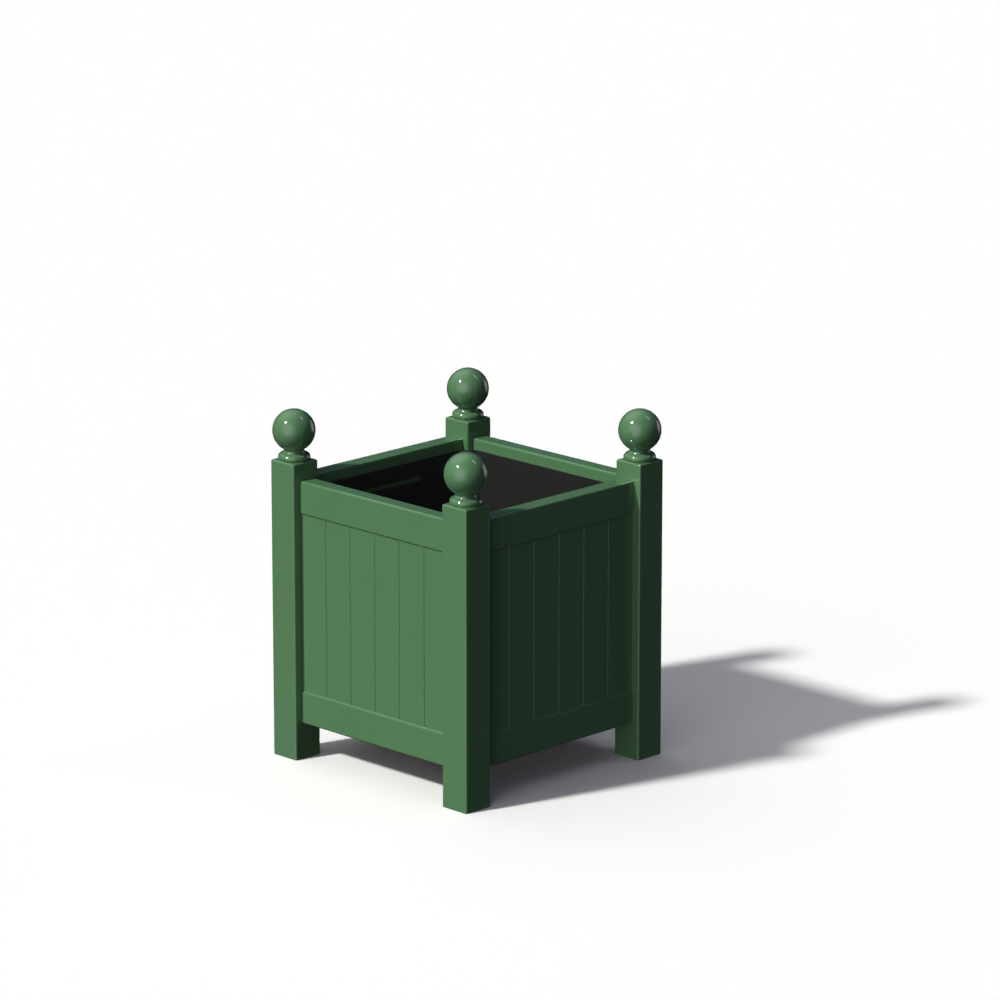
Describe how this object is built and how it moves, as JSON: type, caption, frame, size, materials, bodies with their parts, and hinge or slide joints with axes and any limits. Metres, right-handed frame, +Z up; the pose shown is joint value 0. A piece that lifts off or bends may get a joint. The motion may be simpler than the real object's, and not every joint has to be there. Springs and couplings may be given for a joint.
{
  "type": "versailles planter",
  "caption": "Square painted timber planter box: corner posts with turned ball finials, boarded sides between set-back rails, a slatted floor and a lift-out liner.",
  "frame": {"origin": "centre of the footprint on the ground", "axes": "+Z up, front side faces -Y, the sides are square to X and Y"},
  "size_m": [0.517, 0.517, 0.648],
  "materials": {
    "green_paint": "gloss exterior paint, sprayed smooth; it also covers the ends of the hardwood tenon pegs",
    "treated_timber": "planed, pressure-treated, unpainted",
    "liner_plastic": "fine-grained black",
    "zinc_steel": "bright zinc plated"
  },
  "bodies": {
    "frame": {"post_front_right": "green_paint", "post_back_right": "green_paint", "post_back_left": "green_paint", "post_front_left": "green_paint", "finial_front_right": "green_paint", "finial_back_right": "green_paint", "finial_back_left": "green_paint", "finial_front_left": "green_paint", "top_rail_front": "green_paint", "top_rail_right": "green_paint", "top_rail_back": "green_paint", "top_rail_left": "green_paint", "bottom_rail_front": "green_paint", "bottom_rail_right": "green_paint", "bottom_rail_back": "green_paint", "bottom_rail_left": "green_paint", "board_front_1": "green_paint", "board_front_2": "green_paint", "board_front_3": "green_paint", "board_front_4": "green_paint", "board_front_5": "green_paint", "board_front_6": "green_paint", "board_right_1": "green_paint", "board_right_2": "green_paint", "board_right_3": "green_paint", "board_right_4": "green_paint", "board_right_5": "green_paint", "board_right_6": "green_paint", "board_back_1": "green_paint", "board_back_2": "green_paint", "board_back_3": "green_paint", "board_back_4": "green_paint", "board_back_5": "green_paint", "board_back_6": "green_paint", "board_left_1": "green_paint", "board_left_2": "green_paint", "board_left_3": "green_paint", "board_left_4": "green_paint", "board_left_5": "green_paint", "board_left_6": "green_paint", "floor_slat_1": "treated_timber", "floor_slat_2": "treated_timber", "floor_slat_3": "treated_timber", "floor_slat_4": "treated_timber", "floor_slat_5": "treated_timber", "bearer_front": "treated_timber", "bearer_back": "treated_timber", "tenon_pegs": "green_paint", "finial_studs": "zinc_steel", "slat_screws": "zinc_steel", "bearer_screws": "zinc_steel"},
    "liner": {"liner": "liner_plastic"}
  },
  "joints": [
    {"name": "liner_lift", "type": "slide", "parent": "frame", "child": "liner", "axis": [0, 0, 1], "range_m": [0, 0.55]}
  ]
}
